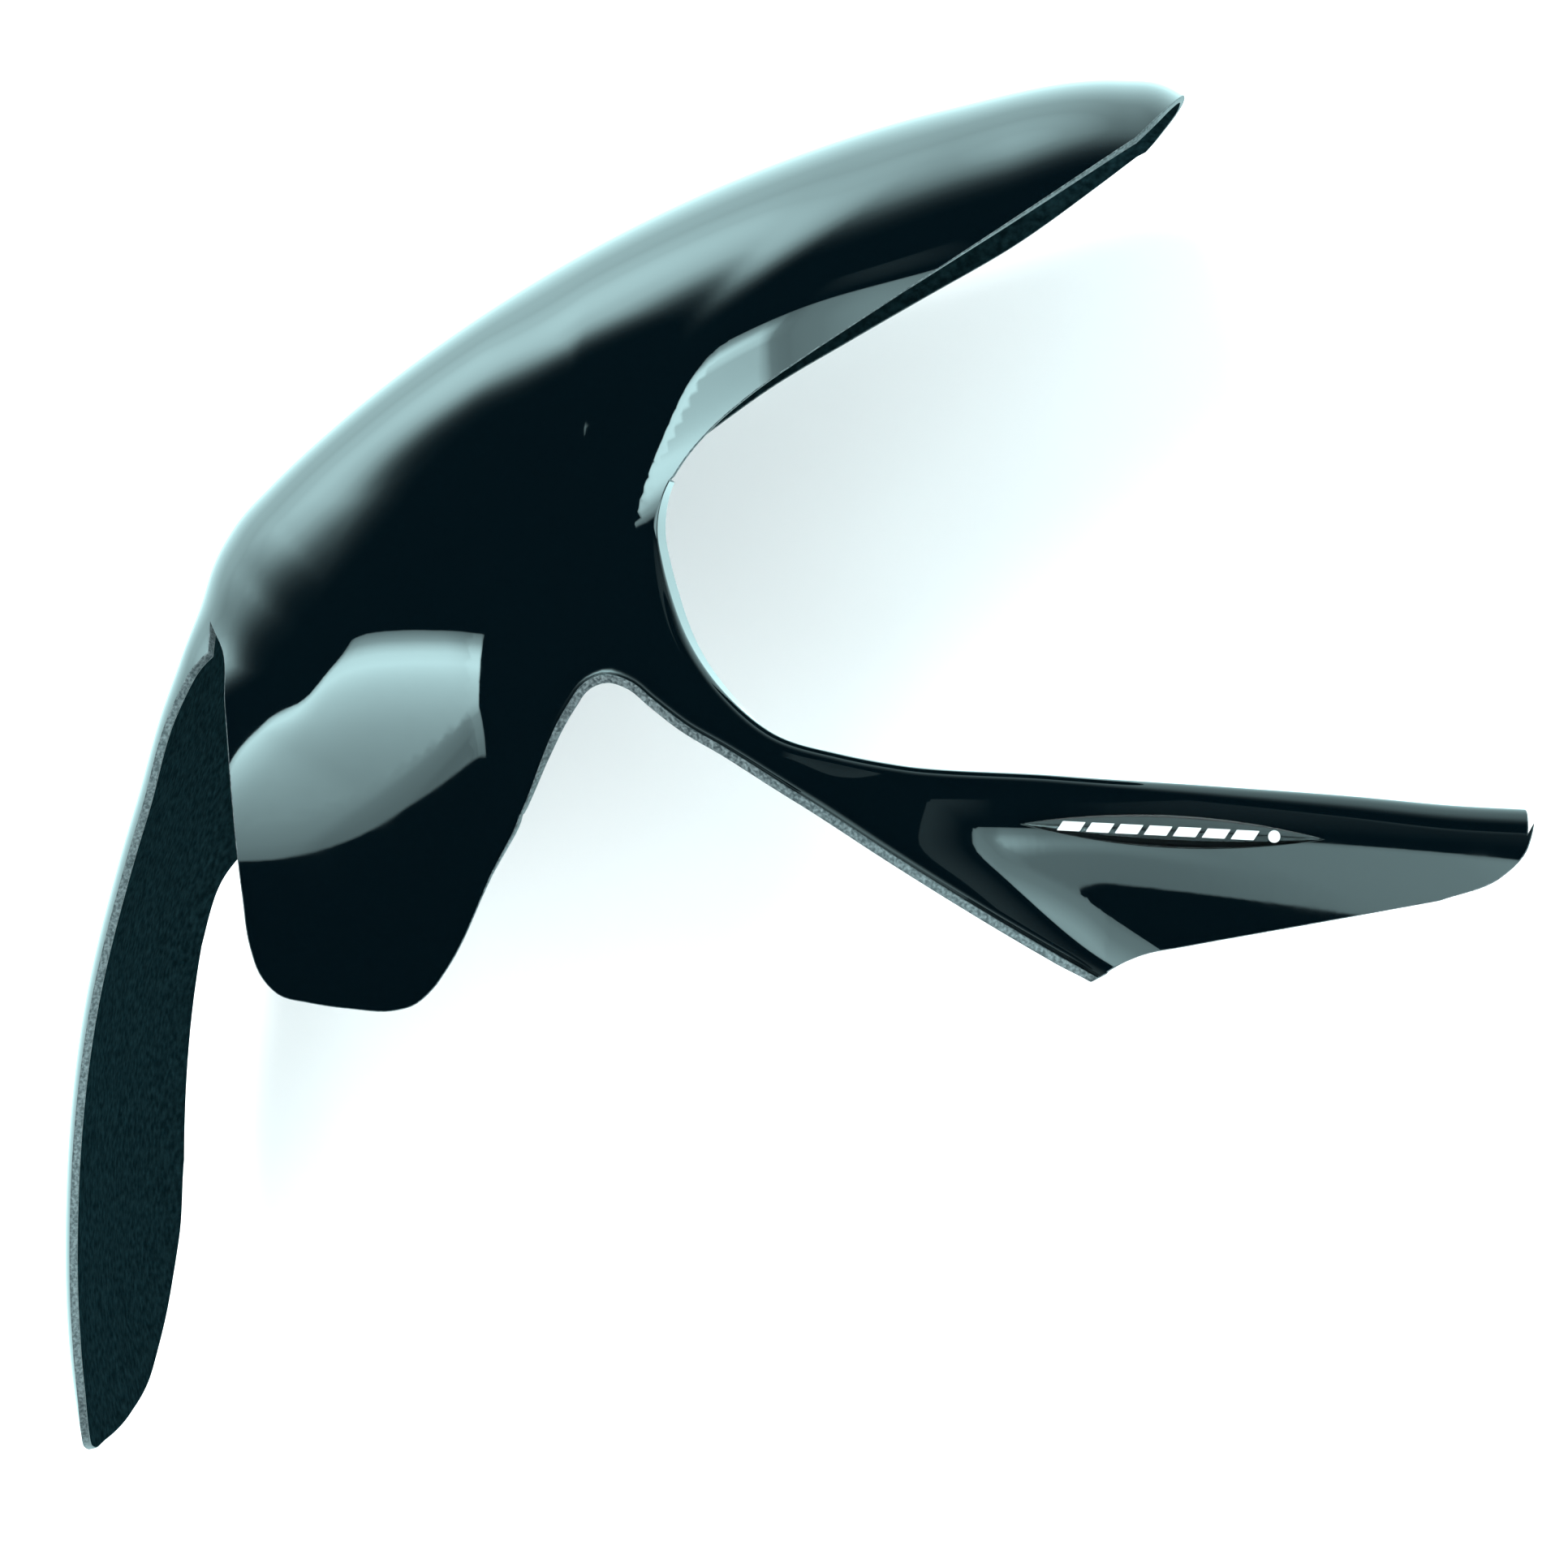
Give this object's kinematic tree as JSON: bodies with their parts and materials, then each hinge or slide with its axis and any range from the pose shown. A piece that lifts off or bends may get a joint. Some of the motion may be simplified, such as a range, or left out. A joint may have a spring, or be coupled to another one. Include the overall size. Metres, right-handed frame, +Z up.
{
  "type": "motorcycle rear hugger",
  "caption": "Gloss black motorcycle rear hugger: wheel mudguard with a left-side chain guard, a front tongue and a small domed badge.",
  "frame": {"origin": "on the rear wheel's axis, midway between the two sides of the tyre", "axes": "+X to the rear of the motorcycle, +Z up, -Y to its left side, where the chain guard is"},
  "size_m": [0.4362, 0.2343, 0.4167],
  "materials": {
    "gloss_black_abs": "gloss outside, matt grained inside",
    "adhesive_pad": "matte",
    "badge_black": "gloss",
    "badge_white": "satin",
    "clear_resin": "clear gloss"
  },
  "bodies": {
    "root": {"hugger_moulding": "gloss_black_abs", "badge_pad": "adhesive_pad", "badge_plate": "badge_black", "badge_dome": "clear_resin", "badge_dot": "badge_white", "badge_bar_1": "badge_white", "badge_bar_2": "badge_white", "badge_bar_3": "badge_white", "badge_bar_4": "badge_white", "badge_bar_5": "badge_white", "badge_bar_6": "badge_white", "badge_bar_7": "badge_white"}
  },
  "joints": []
}
